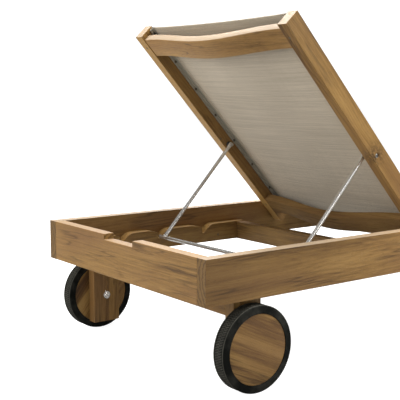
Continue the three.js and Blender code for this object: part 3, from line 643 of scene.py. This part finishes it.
def disc(side, sign, lean):
    """Turned teak disc with softened rims and a bored inner face."""
    node = f"wheel_disc_{side}"
    low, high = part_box(node)
    inner, outer = (low.x, high.x) if sign > 0 else (high.x, low.x)
    depth = inner + sign * DISC_BORE_DEPTH
    rim = DISC_RADIUS - DISC_ROUND
    profile = [(0, depth), (DISC_BORE, depth), (DISC_BORE, inner + sign * BORE_EDGE),
               (DISC_BORE + BORE_EDGE, inner)]
    for face, turn in ((inner, sign), (outer, -sign)):
        arc = [(rim + DISC_ROUND * math.sin(a), face + turn * DISC_ROUND * (1 - math.cos(a)))
               for a in (math.pi / 2 * step / 4 for step in range(5))]
        profile += arc if turn == sign else arc[::-1]
    profile += [(DISC_RING, outer), (0, outer)]
    work = bmesh.new()
    revolve(work, profile, WHEEL, DISC_SEGMENTS)
    grain = (0, math.cos(lean), math.sin(lean))
    material = teak(f"teak_wheel_disc_{side}", grain, centre_of(node), 0.78, bands=2.4)
    made_piece(f"{node}_turned", finished(work, node), material, f"wheel_{side}", BASE, (node,))


for (side, sign), lean in zip(SIDES, DISC_LEANS):
    tyre(side)
    disc(side, sign, lean)

# ---- fasteners -------------------------------------------------------------------------

HEAD_HEIGHT = 0.0030
NUT_HEIGHT = 0.0045
NUT_SIZE = 1.75                  # radius of a nut's corners over its bolt's
NUT_FACE = 0.93                  # radius of its round face over its corners'
NUT_CHAMFER = 0.14               # share of its height
WASHER_SIZE = 1.8                # a bolt whose CAD head is wider than this, over its shank, has a washer
WASHER_HEIGHT = 0.0015
SHARP = 28                       # edges of fasteners sharper than this, in degrees, stay sharp
HEAD_SEGMENTS = 48
SHANK_SEGMENTS = 32
DOME_STEPS = 6
DOME_START = 0.35                # share of a head's height where its side turns into its dome
FLAT_TOP = 0.52                  # radius of a head's flat top over the head's radius
SOCKET_FLOOR = 0.25              # share of a head's height that is left under its socket


def facet(angle):
    """How near a hexagon's outline comes to its centre at angle, over its corners' radius."""
    return math.cos(math.pi / 6) / math.cos(angle % (math.pi / 3) - math.pi / 6)


def socket_head(work, seat, sign, radius, height, centre):
    """Domed bolt head on the plane x = seat, with a hexagonal socket in it."""
    flat = radius * FLAT_TOP
    top, bottom = seat + sign * height, seat + sign * height * SOCKET_FLOOR
    profile = [(0, seat), (radius, seat), (radius, seat + sign * height * DOME_START)]
    for step in range(1, DOME_STEPS + 1):
        angle = math.pi / 2 * step / DOME_STEPS
        reach = flat + (radius - flat) * math.cos(angle)
        profile.append((reach, seat + sign * height * (DOME_START + (1 - DOME_START) * math.sin(angle))))
    profile += [(flat * 0.86, top), (flat * 0.80, bottom), (0, bottom)]

    def socket(angle, reach, x):
        return reach if reach > flat * 0.9 else reach * facet(angle)

    revolve(work, profile, centre, HEAD_SEGMENTS, socket)


def hex_nut(work, x0, x1, across, bore, centre):
    """Nut from x0 to x1 with chamfered corners."""
    chamfer, face = (x1 - x0) * NUT_CHAMFER, across * NUT_FACE
    profile = [(bore, x0), (face, x0), (across, x0 + chamfer), (across, x1 - chamfer), (face, x1), (bore, x1)]

    def hexagon(angle, reach, x):
        return min(reach, reach * facet(angle) * 1.04) if reach > face else reach

    revolve(work, profile, centre, HEAD_SEGMENTS, hexagon)


def ring(work, x0, x1, radius, bore, centre):
    """Washer, spacer or bush with a small chamfer."""
    edge = min(abs(x1 - x0) * 0.2, 0.0004) * (1 if x1 > x0 else -1)
    revolve(work, [(bore, x0), (radius - abs(edge), x0), (radius, x0 + edge), (radius, x1 - edge),
                   (radius - abs(edge), x1), (bore, x1)], centre, HEAD_SEGMENTS)


def bolt(node, body, shank, sign, head=None, material=STEEL):
    """Socket-headed bolt, washer and nut in the room of a CAD bolt: its head is on the outer side."""
    low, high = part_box(node)
    centre = (low + high) / 2
    outer, inner = (high.x, low.x) if sign > 0 else (low.x, high.x)
    seat = outer - sign * HEAD_HEIGHT
    radius = (high.z - low.z) / 2
    work = bmesh.new()
    socket_head(work, seat, sign, head or radius, HEAD_HEIGHT, centre)
    nut_end = inner + sign * NUT_HEIGHT
    revolve(work, [(0, seat), (shank, seat), (shank, inner), (0, inner)], centre, SHANK_SEGMENTS)
    hex_nut(work, min(inner, nut_end), max(inner, nut_end), shank * NUT_SIZE, shank, centre)
    if radius > shank * WASHER_SIZE:
        ring(work, nut_end, nut_end + sign * WASHER_HEIGHT, radius, shank, centre)
    made_piece(f"{node}_detailed", finished(work, node, SHARP), material, body, BASE, (node,))


LEG_SHANK = 0.004                # radii of the bolts' shanks and of two of their heads
HINGE_SHANK = 0.005
PIVOT_SHANK = 0.003
PIVOT_HEAD = 0.0049
AXLE_SHANK = 0.005
AXLE_HEAD = 0.0068
AXLE_HEAD_ROOM = 0.006           # from the head's top to the wheel leg
AXLE_WASHER_GAP = 0.0003         # between the axle's washer and the leg
TURNED_EDGE = 0.0003             # rounding of spacers and bushes
THIN_EDGE = 0.0002               # of washers and cords


def axle_bolt(side, sign):
    """Socket-headed axle: its head and washer are on the wheel leg's inner side."""
    node = f"axle_bolt_{side}"
    low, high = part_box(node)
    centre = (low + high) / 2
    outer, end = (low.x, high.x) if sign > 0 else (high.x, low.x)
    leg = outer + sign * (AXLE_HEAD_ROOM - AXLE_WASHER_GAP)
    seat = leg - sign * WASHER_HEIGHT
    work = bmesh.new()
    socket_head(work, seat, -sign, AXLE_HEAD, abs(seat - outer), centre)
    ring(work, leg, seat, (high.z - low.z) / 2, AXLE_SHANK, centre)
    revolve(work, [(0, seat), (AXLE_SHANK, seat), (AXLE_SHANK, end), (0, end)], centre, SHANK_SEGMENTS)
    made_piece(f"{node}_detailed", finished(work, node, SHARP), STEEL, "base", BASE, (node,))


for side, sign in SIDES:
    for level in ("lower", "upper"):
        bolt(f"leg_bolt_{side}_{level}", "base", LEG_SHANK, sign)
    bolt(f"hinge_bolt_{side}", "base", HINGE_SHANK, sign)
    bolt(f"prop_pivot_bolt_{side}", "backrest", PIVOT_SHANK, sign, PIVOT_HEAD, DULL_STEEL)
    axle_bolt(side, sign)
    for name in ("hinge_spacer", "prop_pivot_spacer", "wheel_bush"):
        soften(f"{name}_{side}", NYLON, TURNED_EDGE, 2)
    soften(f"axle_washer_{side}", STEEL, THIN_EDGE, 2)
    for name in ("seat_edge_cord", "back_edge_cord"):
        soften(f"{name}_{side}", NYLON, THIN_EDGE, 1)

# ---- prop hoop -------------------------------------------------------------------------

BAR_LOW, BAR_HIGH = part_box("prop_bar")
BAR = (BAR_LOW + BAR_HIGH) / 2
ROD = (BAR_HIGH.y - BAR_LOW.y) / 2
ARM_X = (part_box("prop_arm_right")[0].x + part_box("prop_arm_right")[1].x) / 2
EYE_THICKNESS = 0.006
EYE_RADIUS = 0.007
EYE_STEPS = 12
FLAT_LENGTH = 0.026              # from the eye's middle to where the rod is round
FLAT_STEPS = 14
ROD_TURNS = 28
ROD_EDGE = 0.0008
BEAD_STEPS = 8                   # round the weld bead's section
BEAD_SIZE = 0.0011
BEAD_LENGTH = 1.6                # of the bead along the rod, over its size
BEAD_RIPPLE = 0.00025
BEAD_RIPPLES = 9


def hoop():
    """Two arms and a bar, welded: the arms' upper ends are flattened into eyes."""
    work = bmesh.new()
    down = Vector((0, BAR.y - PIVOT.y, BAR.z - PIVOT.z))
    length = down.length
    down.normalize()
    across = Vector((0, -down.z, down.y))
    half = EYE_THICKNESS / 2
    angles = [2 * math.pi * step / ROD_TURNS for step in range(ROD_TURNS)]

    def section(centre, wide, deep):
        return [centre + Vector((wide * math.cos(angle), 0, 0)) + across * (deep * math.sin(angle))
                for angle in angles]

    for side, sign in SIDES:
        top = Vector((sign * ARM_X, PIVOT.y, PIVOT.z))
        rings = []
        for step in range(EYE_STEPS + 1):           # the eye's round end
            angle = math.pi / 2 * step / EYE_STEPS
            rings.append((-EYE_RADIUS * math.cos(angle), half, max(EYE_RADIUS * math.sin(angle), 0.0004)))
        for step in range(1, FLAT_STEPS + 1):       # from the flattened end to the round rod
            share = step / FLAT_STEPS
            ease = share * share * (3 - 2 * share)
            rings.append((FLAT_LENGTH * share, half + (ROD - half) * ease,
                          EYE_RADIUS + (ROD - EYE_RADIUS) * ease ** 0.6))
        rings.append((length, ROD, ROD))
        loft(work, [section(top + down * reach, wide, deep) for reach, wide, deep in rings])
        # weld bead round the arm's foot
        foot = top + down * (length - ROD * 0.7)
        bead = []
        for angle in angles:
            outward = Vector((math.cos(angle), 0, 0)) + across * math.sin(angle)
            swell = BEAD_SIZE + BEAD_RIPPLE * math.cos(BEAD_RIPPLES * angle)
            turns = (2 * math.pi * step / BEAD_STEPS for step in range(BEAD_STEPS))
            bead.append([foot + outward * (ROD + swell * math.cos(turn))
                         + down * (swell * BEAD_LENGTH * math.sin(turn)) for turn in turns])
        loft(work, bead, closed=True)
    end = BAR_HIGH.x
    revolve(work, [(0, -end), (ROD - ROD_EDGE, -end), (ROD, -end + ROD_EDGE), (ROD, end - ROD_EDGE),
                   (ROD - ROD_EDGE, end), (0, end)], BAR, ROD_TURNS)
    made_piece("prop_hoop", finished(work, "prop_hoop"), STEEL, "prop", BASE,
               ("prop_arm_right", "prop_arm_left", "prop_bar"))


hoop()

# ---- slings and the rails that hold them -----------------------------------------------

SLOT_FROM_FRONT = 0.0028         # middle of the slot, from the sling rail's front face
SLOT_HALF = 0.0009
SLOT_DEPTH = 0.0105
SLOT_EDGE = 0.0002
NOSE = 0.0007                    # rounding of the lip's front
FLANGE_BACK = 0.0095             # from the lip back to the screws' flange
NECK_BELOW_SLOT = 0.0024
NECK_EDGE = 0.0004
NECK_ROOT = 0.0008
HEEL = 0.0005
SCREW_PITCH = 0.1017
SCREW_FIRST = 0.014              # from the sling rail's head end to its first screw
SCREW_RADIUS = 0.0038
SCREW_HEIGHT = 0.0016
SCREW_SUNK = 0.0002
SAG = 0.007
SHEET_THICKNESS = 0.0009


def sling_rail(node, body, place, sign):
    """Aluminium channel that holds the sling's edge, and its screws."""
    low, high = box_in(node, place)
    wood, lip = (high.x, low.x) if sign > 0 else (low.x, high.x)
    slot = high.z - SLOT_FROM_FRONT
    inward = -sign
    flange = lip - inward * FLANGE_BACK
    neck = slot - NECK_BELOW_SLOT
    above, below = slot + SLOT_HALF, slot - SLOT_HALF
    outline = [
        (wood, low.z), (wood, high.z), (lip - inward * NOSE, high.z), (lip, high.z - NOSE),
        (lip, above + SLOT_EDGE), (lip - inward * SLOT_EDGE, above),
        (lip - inward * SLOT_DEPTH, above), (lip - inward * SLOT_DEPTH, below),
        (lip - inward * SLOT_EDGE, below), (lip, below - SLOT_EDGE),
        (lip, neck + NECK_EDGE), (lip - inward * NECK_EDGE, neck), (flange + inward * NECK_ROOT, neck),
        (flange, neck - NECK_ROOT), (flange, low.z + HEEL), (flange - inward * HEEL, low.z)]
    work = bmesh.new()
    loft(work, [[(x, y, z) for x, z in outline] for y in (low.y, high.y)])
    made_piece(f"{node}_channel", finished(work, node, SHARP), ALUMINIUM, body, place, (node,))
    work = bmesh.new()
    count = int((high.y - low.y - SCREW_FIRST) / SCREW_PITCH) + 1
    height = (low.z + neck) / 2
    for step in range(count):
        centre = Vector((0, low.y + SCREW_FIRST + step * SCREW_PITCH, height))
        socket_head(work, flange - inward * SCREW_SUNK, inward, SCREW_RADIUS, SCREW_HEIGHT, centre)
    made_piece(f"{node}_screws", finished(work, node, SHARP), DARK_STEEL, body, place)


IN_SLOT = 0.0046                 # how far the sling's edges reach into their slots
HEM_WIDTH = 0.010                # of the folded side hems
HEM_SHORT = 0.0005               # how far they stop short of the sling's ends
HEM_COLUMNS = 6
END_HEM = 0.030
END_HEM_ROWS = 4
HEM_GAP = 0.0002                 # between a side hem and an end hem
LAYER_GAP = 0.00005
SHEET_COLUMNS = 60
SHEET_ROWS = 90
STITCH = 0.0034                  # from one stitch to the next
STITCH_LENGTH = 0.36 * STITCH    # half of each of a stitch's sizes
STITCH_WIDTH = 0.0004
STITCH_HEIGHT = 0.00035
STITCH_SEAT = SHEET_THICKNESS * 1.5 + 0.00015


def strip(x0, x1, y0, y1, columns, rows, top):
    """A closed sheet whose upper face is at the height top(x)."""
    work = bmesh.new()
    grids = []
    for level in (0, -SHEET_THICKNESS):
        grids.append([[work.verts.new((x, y, top(x) + level))
                       for x in (x0 + (x1 - x0) * i / columns for i in range(columns + 1))]
                      for y in (y0 + (y1 - y0) * j / rows for j in range(rows + 1))])
    for grid in grids:
        for j in range(rows):
            for i in range(columns):
                work.faces.new((grid[j][i], grid[j][i + 1], grid[j + 1][i + 1], grid[j + 1][i]))
    upper, lower = grids
    rim = [(0, i) for i in range(columns)] + [(j, columns) for j in range(rows)]
    rim += [(rows, i) for i in range(columns, 0, -1)] + [(j, 0) for j in range(rows, 0, -1)]
    for (a, b), (c, d) in zip(rim, rim[1:] + rim[:1]):
        work.faces.new((upper[a][b], upper[c][d], lower[c][d], lower[a][b]))
    return work


def stitch(work, x, y, z, along_x):
    """Adds one stitch, a small bead of thread."""
    size = (STITCH_LENGTH, STITCH_WIDTH) if along_x else (STITCH_WIDTH, STITCH_LENGTH)
    for vert in bmesh.ops.create_icosphere(work, subdivisions=1, radius=1.0)["verts"]:
        vert.co = Vector((x + vert.co.x * size[0], y + vert.co.y * size[1], z + vert.co.z * STITCH_HEIGHT))


def sling(node, body, place):
    """Woven sheet in the slots, with its side and end hems folded under and sewn."""
    low, high = box_in(node, place)
    half = high.x
    edge = high.z - SHEET_THICKNESS / 2

    def height(x):
        return edge - SAG * (1 - (x / half) ** 2)

    def top(x):
        return height(x) + SHEET_THICKNESS / 2

    def under(x):
        return height(x) - SHEET_THICKNESS / 2 - LAYER_GAP

    work = strip(-half, half, low.y, high.y, SHEET_COLUMNS, SHEET_ROWS, top)
    sheet = made_piece(f"{node}_woven", finished(work, node), SLING, body, place, (node,))
    lip = half - IN_SLOT
    for side, sign in SIDES:
        x0, x1 = sorted((sign * lip, sign * (lip - HEM_WIDTH)))
        work = strip(x0, x1, low.y + HEM_SHORT, high.y - HEM_SHORT, HEM_COLUMNS, SHEET_ROWS, under)
        made_piece(f"{node}_hem_{side}", finished(work, node), HEM, body, place)
    inner = lip - HEM_WIDTH - HEM_GAP
    for name, y0, y1 in (("head", low.y, low.y + END_HEM), ("foot", high.y - END_HEM, high.y)):
        work = strip(-inner, inner, y0, y1, SHEET_COLUMNS, END_HEM_ROWS, under)
        made_piece(f"{node}_hem_{name}", finished(work, node), HEM, body, place)

    # one row of stitches down the middle of each side hem, and two along each end hem
    work = bmesh.new()
    for sign in (1, -1):
        x = sign * (lip - HEM_WIDTH / 2)
        for step in range(int((high.y - low.y - 0.004) / STITCH)):
            stitch(work, x, low.y + 0.003 + step * STITCH, height(x) - STITCH_SEAT, False)
    for y in (low.y + 0.006, low.y + END_HEM - 0.005, high.y - 0.006, high.y - END_HEM + 0.005):
        for step in range(int(2 * inner / STITCH)):
            x = -inner + 0.002 + step * STITCH
            stitch(work, x, y, height(x) - STITCH_SEAT, True)
    made_piece(f"{node}_stitches", finished(work, node, 180), THREAD, body, place)


for side, sign in SIDES:
    sling_rail(f"back_sling_rail_{side}", "backrest", BACK, sign)
    sling_rail(f"seat_sling_rail_{side}", "base", BASE, sign)
sling("back_sling", "backrest", BACK)
sling("seat_sling", "base", BASE)

# ---- small screws in the wood ----------------------------------------------------------

SMALL_SCREW = 0.0032
SMALL_HEIGHT = 0.0009
SMALL_SUNK = 0.0006
RATCHET_SCREWS = (0.052, 0.489)  # from the ratchet rail's head end
RATCHET_SCREW_RISE = 0.018
CORNER_SCREWS = (-0.673, -0.042)         # on the backrest's side rails, from the hinge
CORNER_SCREW_OUT = 0.002
SIDE_SCREW = (-0.322, -0.017)    # along and through the backrest's side rails, from the hinge


def wood_screws(name, body, place, axis, places):
    """Dark countersunk screws. axis is the outward direction, places are points on the wood's face."""
    work = bmesh.new()
    turn = Vector((1, 0, 0)).rotation_difference(Vector(axis)).to_matrix().to_4x4()
    for point in places:
        start = len(work.verts)
        socket_head(work, -SMALL_SUNK, 1, SMALL_SCREW, SMALL_HEIGHT, Vector((0, 0, 0)))
        work.verts.ensure_lookup_table()
        for vert in work.verts[start:]:
            vert.co = (Matrix.Translation(point) @ turn) @ vert.co
    made_piece(name, finished(work, name, SHARP), DARK_STEEL, body, place)


for side, sign in SIDES:
    low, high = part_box(f"ratchet_rail_{side}")
    face = low.x if sign > 0 else high.x
    spots = [Vector((face, low.y + reach, low.z + RATCHET_SCREW_RISE)) for reach in RATCHET_SCREWS]
    wood_screws(f"ratchet_screws_{side}", "base", BASE, (-sign, 0, 0), spots)
    low, high = box_in(f"back_rail_{side}", BACK)
    middle = (low.x + high.x) / 2
    wood_screws(f"back_corner_screws_{side}", "backrest", BACK, (0, 0, -1),
                [Vector((middle - sign * CORNER_SCREW_OUT, y, low.z)) for y in CORNER_SCREWS])
    inner = low.x if sign > 0 else high.x
    wood_screws(f"back_side_screw_{side}", "backrest", BACK, (-sign, 0, 0), [Vector((inner, *SIDE_SCREW))])

# ---- floor, light and camera -----------------------------------------------------------

FLOOR_BOUNCE = (0.30, 0.30, 0.30, 1)       # what the floor gives back to the object
FLOOR_BOUNCE_WORN = (0.32, 0.32, 0.32, 1)
FLOOR_PALE = 0.93                          # brightness of the pale floor in its own shadows
FLOOR_HALF = 40.0
FLOOR_DROP = 0.0005                        # keeps the floor off the glides
floor_material, floor_shader, t = new_material("studio_floor")
place = t.node("ShaderNodeTexCoord").outputs["Object"]
t.put(floor_shader.inputs["Base Color"], t.mix(t.noise(place, 3.0, 3.0), FLOOR_BOUNCE, FLOOR_BOUNCE_WORN))
floor_shader.inputs["Roughness"].default_value = 0.9
seen = t.node("ShaderNodeLightPath").outputs["Is Camera Ray"]
pale = t.node("ShaderNodeEmission", {"Strength": t.math("MULTIPLY", seen, FLOOR_PALE)}).outputs[0]
both = t.node("ShaderNodeAddShader", {0: floor_shader.outputs[0], 1: pale})
t.put(floor_material.node_tree.nodes["Material Output"].inputs["Surface"], both.outputs[0])
work = bmesh.new()
bmesh.ops.create_grid(work, x_segments=8, y_segments=8, size=FLOOR_HALF)
floor_mesh = bpy.data.meshes.new("floor")
work.to_mesh(floor_mesh)
work.free()
floor_mesh.materials.append(floor_material)
floor = bpy.data.objects.new("floor", floor_mesh)
floor.location.z = -FLOOR_DROP
bpy.context.scene.collection.objects.link(floor)

AMBIENT = 0.25                             # light from the surroundings
BACKDROP = 1.2                             # how bright they look
world = bpy.data.worlds.new("studio")
world.use_nodes = True
bpy.context.scene.world = world
t = Tree(world.node_tree)
seen = t.node("ShaderNodeLightPath").outputs["Is Camera Ray"]
strength = t.math("MULTIPLY_ADD", seen, BACKDROP - AMBIENT, AMBIENT)
background = world.node_tree.nodes["Background"]
background.inputs["Color"].default_value = (1, 1, 1, 1)
t.put(background.inputs["Strength"], strength)


def softbox(name, place, target, size, power):
    """Area light at place, facing target, with its size in metres and its power in watts."""
    light = bpy.data.lights.new(name, "AREA")
    light.shape = "RECTANGLE"
    light.size, light.size_y = size
    light.energy = power
    lamp = bpy.data.objects.new(name, light)
    lamp.location = place
    lamp.rotation_euler = (Vector(target) - Vector(place)).to_track_quat("-Z", "Y").to_euler()
    bpy.context.scene.collection.objects.link(lamp)


softbox("overhead", (-0.5, 0.0, 3.0), (-0.2, -0.1, 0), (1.8, 3.2), 265)
softbox("head_side", (-0.8, -3.2, 1.05), (0, -0.6, 0.6), (2.4, 1.3), 54)
softbox("right_side", (1.35, 0.9, 2.0), (0.3, -0.3, 0.5), (1.2, 1.2), 58)
softbox("foot_strip", (2.4, -0.05, 1.25), (0.26, -0.57, 0.36), (0.3, 1.3), 6)
softbox("behind", (-3.6, 3.2, 1.1), (0, -0.3, 0.3), (4.0, 1.6), 42)
softbox("strip", (3.0, -2.9, 1.1), (0, -0.5, 0.4), (0.22, 2.2), 12)

# the photograph's viewpoint, fitted to the frame's straight edges
AZIMUTH = math.radians(53.225)
ELEVATION = math.radians(7.163)
EYE = Vector((1.704, -2.034, 0.642))
LENS = 77.83
SENSOR = 36
camera_data = bpy.data.cameras.new("camera")
camera_data.sensor_width = SENSOR
camera_data.lens = LENS
camera = bpy.data.objects.new("camera", camera_data)
camera.location = EYE
ahead = Vector((-math.sin(AZIMUTH) * math.cos(ELEVATION),
                math.cos(AZIMUTH) * math.cos(ELEVATION), -math.sin(ELEVATION)))
camera.rotation_euler = ahead.to_track_quat("-Z", "Y").to_euler()
bpy.context.scene.collection.objects.link(camera)
bpy.context.scene.camera = camera
bpy.context.scene.view_settings.view_transform = "Standard"
bpy.context.scene.view_settings.look = "None"
